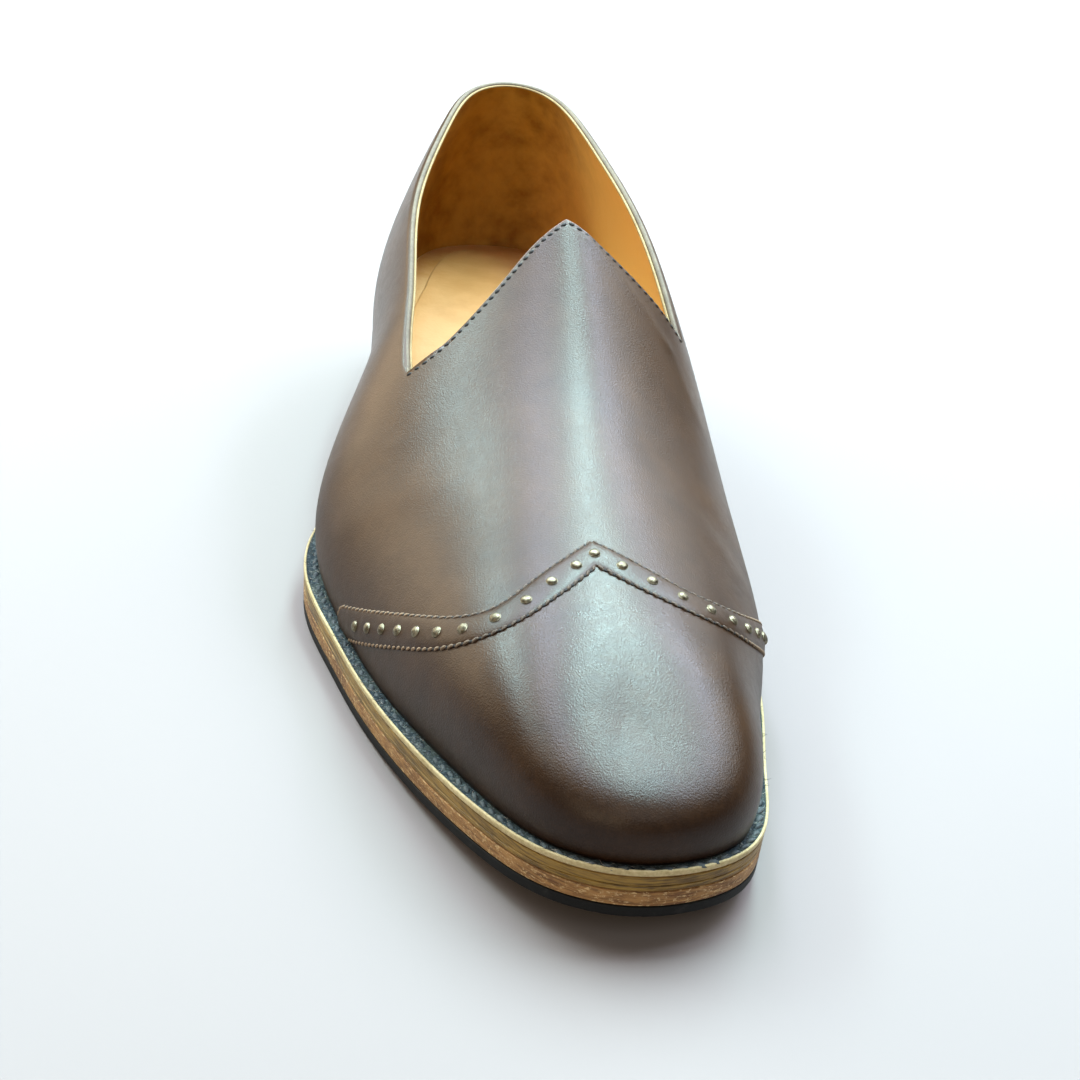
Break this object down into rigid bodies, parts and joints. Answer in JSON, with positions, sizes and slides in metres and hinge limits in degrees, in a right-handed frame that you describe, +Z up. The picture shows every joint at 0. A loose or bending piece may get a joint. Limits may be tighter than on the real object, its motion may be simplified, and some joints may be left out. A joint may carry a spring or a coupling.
{
  "type": "nagra shoe",
  "caption": "Slip-on leather dress shoe for the right foot, peaked tongue, studded wing-tip band, layered welted sole.",
  "frame": {"origin": "on the floor, under the middle of the shoe's box", "axes": "+Z up, toe towards -Y and heel towards +Y, medial side towards +X"},
  "size_m": [0.1002, 0.2964, 0.087],
  "materials": {
    "upper_leather": "polished",
    "band_leather": "polished",
    "stud_metal": "antique",
    "sock_leather": "matte",
    "welt_leather": "matte",
    "midsole_leather": "satin",
    "outsole_leather": "satin",
    "half_sole_rubber": "matte",
    "heel_leather": "satin",
    "top_piece_rubber": "matte"
  },
  "bodies": {
    "root": {"half_sole": "half_sole_rubber", "heel_block": "heel_leather", "heel_top_piece": "top_piece_rubber", "insole": "sock_leather", "midsole": "midsole_leather", "outsole": "outsole_leather", "stud_01": "stud_metal", "stud_02": "stud_metal", "stud_03": "stud_metal", "stud_04": "stud_metal", "stud_05": "stud_metal", "stud_06": "stud_metal", "stud_07": "stud_metal", "stud_08": "stud_metal", "stud_09": "stud_metal", "stud_10": "stud_metal", "stud_11": "stud_metal", "stud_12": "stud_metal", "stud_13": "stud_metal", "stud_14": "stud_metal", "stud_15": "stud_metal", "stud_16": "stud_metal", "stud_17": "stud_metal", "stud_18": "stud_metal", "stud_19": "stud_metal", "stud_20": "stud_metal", "stud_21": "stud_metal", "stud_22": "stud_metal", "upper": "upper_leather", "welt": "welt_leather", "wing_band": "band_leather"}
  },
  "joints": []
}
